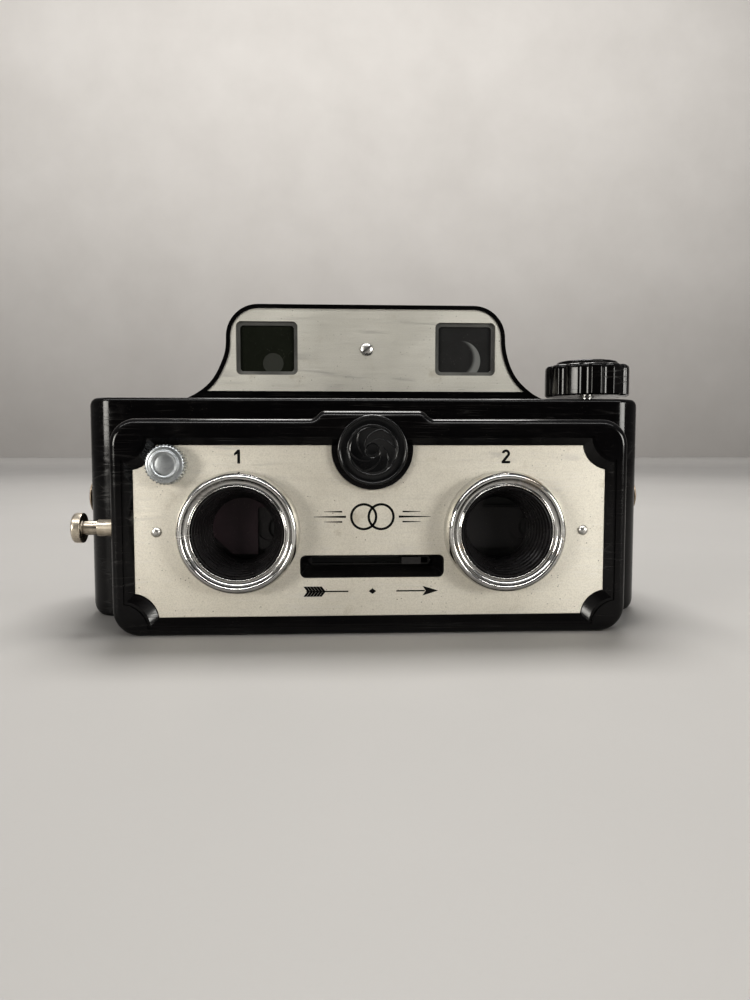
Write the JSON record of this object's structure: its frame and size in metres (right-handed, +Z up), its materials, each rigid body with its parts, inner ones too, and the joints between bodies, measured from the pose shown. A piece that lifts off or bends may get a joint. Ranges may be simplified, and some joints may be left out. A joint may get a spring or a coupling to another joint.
{
  "type": "stereo camera",
  "caption": "Twin-lens roll-film stereo camera in black moulded phenolic with a satin metal face plate, binocular finder block, sliding shutter, hinged back and fluted winding knob",
  "frame": {"origin": "centre of the bounding box at the base plane the camera stands on; X=0 is midway between the lenses", "axes": "+X right as seen from the front, lenses look along -Y, +Z up"},
  "size_m": [0.1684, 0.08, 0.0938],
  "materials": {
    "back_cover": "black moulded phenolic, polished, finely scuffed",
    "back_hinge_pin": "bright steel",
    "back_latch": "bright steel",
    "blanking_blade": "dark purple-brown lacquered blade",
    "capping_blade": "matt black enamel on steel",
    "face_plate": "satin rolled sheet with fine speckle",
    "face_plate_pins": "bright plated turned ring",
    "finder_base_screws": "bright steel",
    "finder_eyepiece_1": "black eyepiece ring",
    "finder_eyepiece_2": "black eyepiece ring",
    "finder_front_lens_1": "clear glass, dusty",
    "finder_front_lens_2": "clear glass, dusty",
    "finder_rear_lens_1": "clear glass, dusty",
    "finder_rear_lens_2": "clear glass, dusty",
    "finder_screw": "bright steel",
    "finder_window_frame_1": "grey enamelled frame",
    "finder_window_frame_2": "grey enamelled frame",
    "front_shell": "black moulded phenolic, polished, finely scuffed",
    "latch_screws": "bright steel",
    "lens_bezel_1": "bright plated turned ring",
    "lens_bezel_2": "bright plated turned ring",
    "lens_cell_1": "brass, dull",
    "lens_cell_2": "brass, dull",
    "lens_glass_1": "clear glass, dusty",
    "lens_glass_2": "clear glass, dusty",
    "lens_hood_1": "black moulding, matt inside",
    "lens_hood_2": "black moulding, matt inside",
    "lens_retainers": "bright steel",
    "lever_pivot": "bright steel",
    "light_box": "black moulding, matt inside",
    "light_box_screws": "bright steel",
    "main_body": "black moulded phenolic, polished, finely scuffed",
    "medallion": "black enamelled disc with raised rings",
    "plunger_bush": "warm nickel plate, worn",
    "plunger_spring": "bright steel",
    "preset_tab": "matt black enamel on steel",
    "pressure_plate": "matt black enamel on steel",
    "pressure_springs": "brass, dull",
    "release_lever": "bright steel",
    "release_plunger": "warm nickel plate, worn",
    "ruby_window": "ruby red celluloid",
    "selector_knob": "blue-grey zinc plate, scuffed",
    "selector_shaft": "bright steel",
    "shell_screws": "bright steel",
    "shutter_base_plate": "matt black enamel on steel",
    "shutter_base_screws": "bright steel",
    "shutter_guides": "brass, dull",
    "shutter_slide": "matt black enamel on steel",
    "shutter_spring": "bright steel",
    "spool_pivots": "bright steel",
    "spool_springs": "brass, dull",
    "strap_stud_left": "warm nickel plate, worn",
    "strap_stud_right": "warm nickel plate, worn",
    "supply_pivot": "bright steel",
    "supply_spool": "black moulding, matt inside",
    "take_up_spool": "black moulding, matt inside",
    "viewfinder_casing": "black moulded phenolic, polished, finely scuffed",
    "viewfinder_plate": "satin rolled sheet, hairline scratched",
    "winding_knob": "black moulded phenolic, polished, finely scuffed",
    "winding_shaft": "bright steel"
  },
  "bodies": {
    "camera": {"back_hinge_pin": "back_hinge_pin", "face_plate": "face_plate", "face_plate_pins": "face_plate_pins", "finder_base_screws": "finder_base_screws", "finder_eyepiece_1": "finder_eyepiece_1", "finder_eyepiece_2": "finder_eyepiece_2", "finder_front_lens_1": "finder_front_lens_1", "finder_front_lens_2": "finder_front_lens_2", "finder_rear_lens_1": "finder_rear_lens_1", "finder_rear_lens_2": "finder_rear_lens_2", "finder_screw": "finder_screw", "finder_window_frame_1": "finder_window_frame_1", "finder_window_frame_2": "finder_window_frame_2", "front_shell": "front_shell", "lens_bezel_1": "lens_bezel_1", "lens_bezel_2": "lens_bezel_2", "lens_cell_1": "lens_cell_1", "lens_cell_2": "lens_cell_2", "lens_glass_1": "lens_glass_1", "lens_glass_2": "lens_glass_2", "lens_hood_1": "lens_hood_1", "lens_hood_2": "lens_hood_2", "lens_retainers": "lens_retainers", "lever_pivot": "lever_pivot", "light_box": "light_box", "light_box_screws": "light_box_screws", "main_body": "main_body", "medallion": "medallion", "plunger_bush": "plunger_bush", "plunger_spring": "plunger_spring", "shell_screws": "shell_screws", "shutter_base_plate": "shutter_base_plate", "shutter_base_screws": "shutter_base_screws", "shutter_guides": "shutter_guides", "shutter_spring": "shutter_spring", "spool_pivots": "spool_pivots", "spool_springs": "spool_springs", "strap_stud_left": "strap_stud_left", "strap_stud_right": "strap_stud_right", "supply_pivot": "supply_pivot", "viewfinder_casing": "viewfinder_casing", "viewfinder_plate": "viewfinder_plate"},
    "release_plunger": {"release_plunger": "release_plunger"},
    "release_lever": {"release_lever": "release_lever"},
    "capping_blade": {"capping_blade": "capping_blade"},
    "shutter_slide": {"shutter_slide": "shutter_slide", "preset_tab": "preset_tab"},
    "selector": {"selector_knob": "selector_knob", "selector_shaft": "selector_shaft", "blanking_blade": "blanking_blade"},
    "winding": {"winding_knob": "winding_knob", "winding_shaft": "winding_shaft"},
    "take_up_spool": {"take_up_spool": "take_up_spool"},
    "supply_spool": {"supply_spool": "supply_spool"},
    "back_cover": {"back_cover": "back_cover", "ruby_window": "ruby_window", "pressure_plate": "pressure_plate", "pressure_springs": "pressure_springs", "latch_screws": "latch_screws"},
    "back_latch": {"back_latch": "back_latch"}
  },
  "joints": [
    {"name": "release_press", "type": "slide", "parent": "camera", "child": "release_plunger", "axis": [1, 0, 0], "range_m": [0, 0.0035], "deforming": ["plunger_spring"]},
    {"name": "release_lever_turn", "type": "hinge", "parent": "camera", "child": "release_lever", "pos_m": [-0.0618, -0.0255, 0.02], "axis": [0, 1, 0], "range_deg": [0, 30.6]},
    {"name": "capping_blade_slide", "type": "slide", "parent": "camera", "child": "capping_blade", "axis": [-1, 0, 0], "range_m": [0, 0.0071]},
    {"name": "shutter_slide_travel", "type": "slide", "parent": "camera", "child": "shutter_slide", "axis": [1, 0, 0], "range_m": [-0.02, 0.001], "deforming": ["shutter_spring"]},
    {"name": "selector_turn", "type": "hinge", "parent": "camera", "child": "selector", "pos_m": [-0.0533, -0.03, 0.0451], "axis": [0, 1, 0], "range_deg": [0, 40]},
    {"name": "winding_turn", "type": "hinge", "parent": "camera", "child": "winding", "pos_m": [0.0692, 0.003, 0.07], "axis": [0, 0, 1], "continuous": true},
    {"name": "take_up_spool_turn", "type": "hinge", "parent": "camera", "child": "take_up_spool", "pos_m": [0.0692, 0.003, 0.03], "axis": [0, 0, 1], "continuous": true},
    {"name": "supply_spool_turn", "type": "hinge", "parent": "camera", "child": "supply_spool", "pos_m": [-0.0692, 0.003, 0.03], "axis": [0, 0, 1], "continuous": true},
    {"name": "back_cover_open", "type": "hinge", "parent": "camera", "child": "back_cover", "pos_m": [-0.0828, 0.032, 0.032], "axis": [0, 0, 1], "range_deg": [0, 110]},
    {"name": "back_latch_slide", "type": "slide", "parent": "back_cover", "child": "back_latch", "axis": [0, 0, 1], "range_m": [0, 0.003]}
  ],
  "couplings": [
    {"joint": "release_lever_turn", "follows": "release_press", "rad_per_m": 151.4},
    {"joint": "capping_blade_slide", "follows": "release_press", "ratio": 2.01},
    {"joint": "take_up_spool_turn", "follows": "winding_turn", "ratio": 1},
    {"joint": "supply_spool_turn", "follows": "winding_turn", "ratio": 1}
  ]
}
